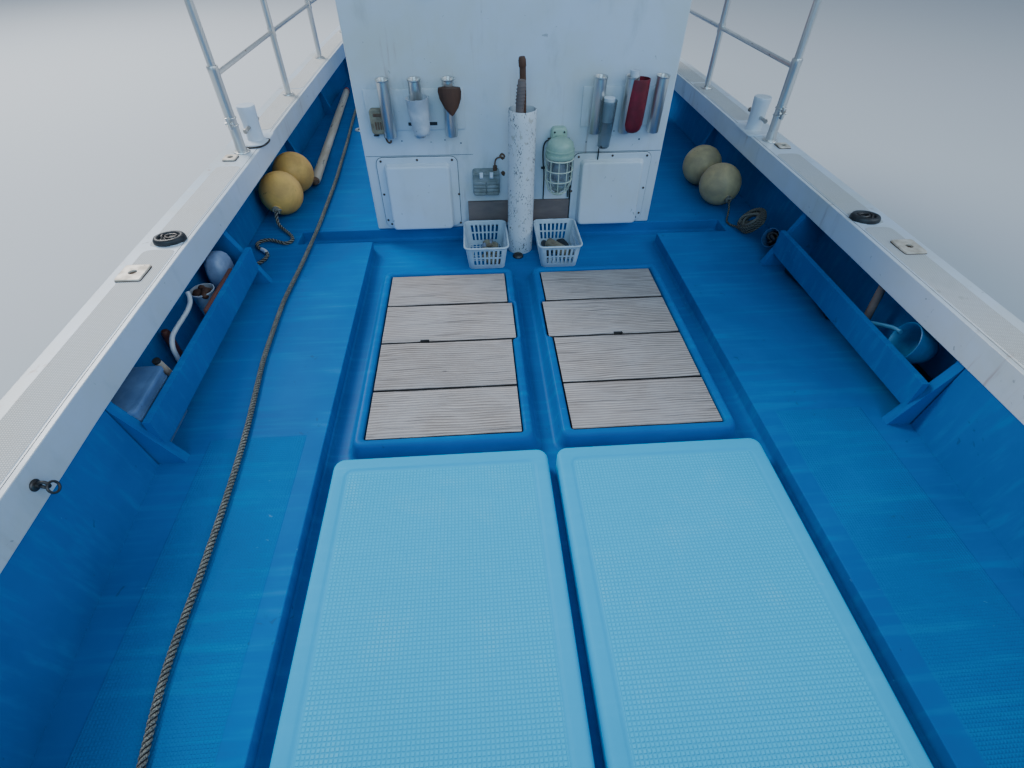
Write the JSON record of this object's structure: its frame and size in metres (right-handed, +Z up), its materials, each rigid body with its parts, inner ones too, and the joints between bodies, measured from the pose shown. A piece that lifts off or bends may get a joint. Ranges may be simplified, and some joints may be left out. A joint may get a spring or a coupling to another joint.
{
  "type": "inshore fishing boat",
  "caption": "Small glass-fibre inshore fishing boat afloat, with hatches in a low foredeck, a narrow wheelhouse amidships, a mast, guard rails, a rudder and a propeller.",
  "frame": {"origin": "on the waterline, on the centreline, level with the front face of the wheelhouse near amidships", "axes": "+X to starboard, +Y to the bow, +Z up"},
  "size_m": [2.833, 10.439, 3.99],
  "materials": {
    "white_gelcoat": "glass-fibre gelcoat, off-white, semi-gloss, with rust runs",
    "blue_deck": "bright blue deck paint on glass fibre, satin",
    "weathered_wood": "bare planks weathered grey, rough",
    "white_pipe": "white plastic pipe, worn and specked",
    "stainless": "polished stainless steel tube",
    "window_glass": "tinted toughened glass",
    "black_rubber": "black rubber, matt",
    "lamp_plastic": "pale green moulded plastic",
    "grey_plastic": "grey moulded plastic",
    "basket_plastic": "pale blue-white moulded plastic",
    "float_plastic": "ochre hard plastic float, chalky",
    "rope_fibre": "laid three-strand rope, dark and worn",
    "engine_iron": "grey painted iron block",
    "bronze": "cast bronze",
    "bottom_paint": "blue antifouling paint, matt"
  },
  "bodies": {
    "boat": {"hull": "white_gelcoat", "gunwale_stern": "white_gelcoat", "gunwale_starboard": "white_gelcoat", "gunwale_port": "white_gelcoat", "wheelhouse_side_starboard": "white_gelcoat", "wheelhouse_side_port": "white_gelcoat", "wheelhouse_front": "white_gelcoat", "wheelhouse_back": "white_gelcoat", "wheelhouse_roof": "white_gelcoat", "access_cover_starboard": "white_gelcoat", "access_cover_port": "white_gelcoat", "console": "white_gelcoat", "bow_bitt": "white_gelcoat", "side_bitt_starboard": "white_gelcoat", "side_bitt_port": "white_gelcoat", "mast": "white_gelcoat", "bulwark_starboard": "blue_deck", "bulwark_port": "blue_deck", "deck": "blue_deck", "hatch_deck": "blue_deck", "hatch_rim_starboard": "blue_deck", "hatch_rim_port": "blue_deck", "bench": "weathered_wood", "gaff_tube": "white_pipe", "boathook": "white_pipe", "rod_rack_starboard": "stainless", "rod_rack_port": "stainless", "rail_starboard": "stainless", "rail_port": "stainless", "bow_fitting": "stainless", "side_pane_starboard": "window_glass", "side_pane_port": "window_glass", "front_pane_starboard": "window_glass", "front_pane_port": "window_glass", "strake_starboard": "black_rubber", "strake_port": "black_rubber", "deck_lamp": "lamp_plastic", "socket_box": "grey_plastic", "basket_starboard": "basket_plastic", "basket_port": "basket_plastic", "floats_starboard": "float_plastic", "floats_port": "float_plastic", "mooring_rope": "rope_fibre", "mooring_rope_knot": "rope_fibre", "lanyard_starboard": "rope_fibre", "lanyard_port": "rope_fibre", "lanyard_coil_port": "rope_fibre", "engine": "engine_iron"},
    "propeller": {"propeller": "bronze"},
    "rudder": {"rudder": "bottom_paint"},
    "helm": {"helm_wheel": "black_rubber"},
    "bow_roller": {"bow_roller": "black_rubber"},
    "lid_starboard": {"hatch_lid_starboard": "blue_deck"},
    "lid_port": {"hatch_lid_port": "blue_deck"},
    "boards_starboard": {"hatch_boards_starboard": "weathered_wood"},
    "boards_port": {"hatch_boards_port": "weathered_wood"},
    "door": {"wheelhouse_door": "white_gelcoat", "door_pane": "window_glass"}
  },
  "joints": [
    {"name": "propeller_spin", "type": "hinge", "parent": "boat", "child": "propeller", "pos_m": [0, -4.3, -0.44], "axis": [0, 1, 0], "continuous": true},
    {"name": "rudder_turn", "type": "hinge", "parent": "boat", "child": "rudder", "pos_m": [0, -4.7, -0.3], "axis": [0, 0, 1], "range_deg": [-35, 35]},
    {"name": "helm_turn", "type": "hinge", "parent": "boat", "child": "helm", "pos_m": [0.24, -0.42, 1.12], "axis": [0, 1, 0], "range_deg": [-540, 540]},
    {"name": "bow_roller_spin", "type": "hinge", "parent": "boat", "child": "bow_roller", "pos_m": [0, 5.372, 1.268], "axis": [1, 0, 0], "continuous": true},
    {"name": "lid_starboard_lift", "type": "slide", "parent": "boat", "child": "lid_starboard", "axis": [0, 0, 1], "range_m": [0, 0.3]},
    {"name": "lid_port_lift", "type": "slide", "parent": "boat", "child": "lid_port", "axis": [0, 0, 1], "range_m": [0, 0.3]},
    {"name": "boards_starboard_lift", "type": "slide", "parent": "boat", "child": "boards_starboard", "axis": [0, 0, 1], "range_m": [0, 0.3]},
    {"name": "boards_port_lift", "type": "slide", "parent": "boat", "child": "boards_port", "axis": [0, 0, 1], "range_m": [0, 0.3]},
    {"name": "door_hinge", "type": "hinge", "parent": "boat", "child": "door", "pos_m": [0.324, -2, 1.3], "axis": [0, 0, 1], "range_deg": [0, 110]}
  ],
  "couplings": [
    {"joint": "helm_turn", "follows": "rudder_turn", "ratio": 15.42}
  ]
}
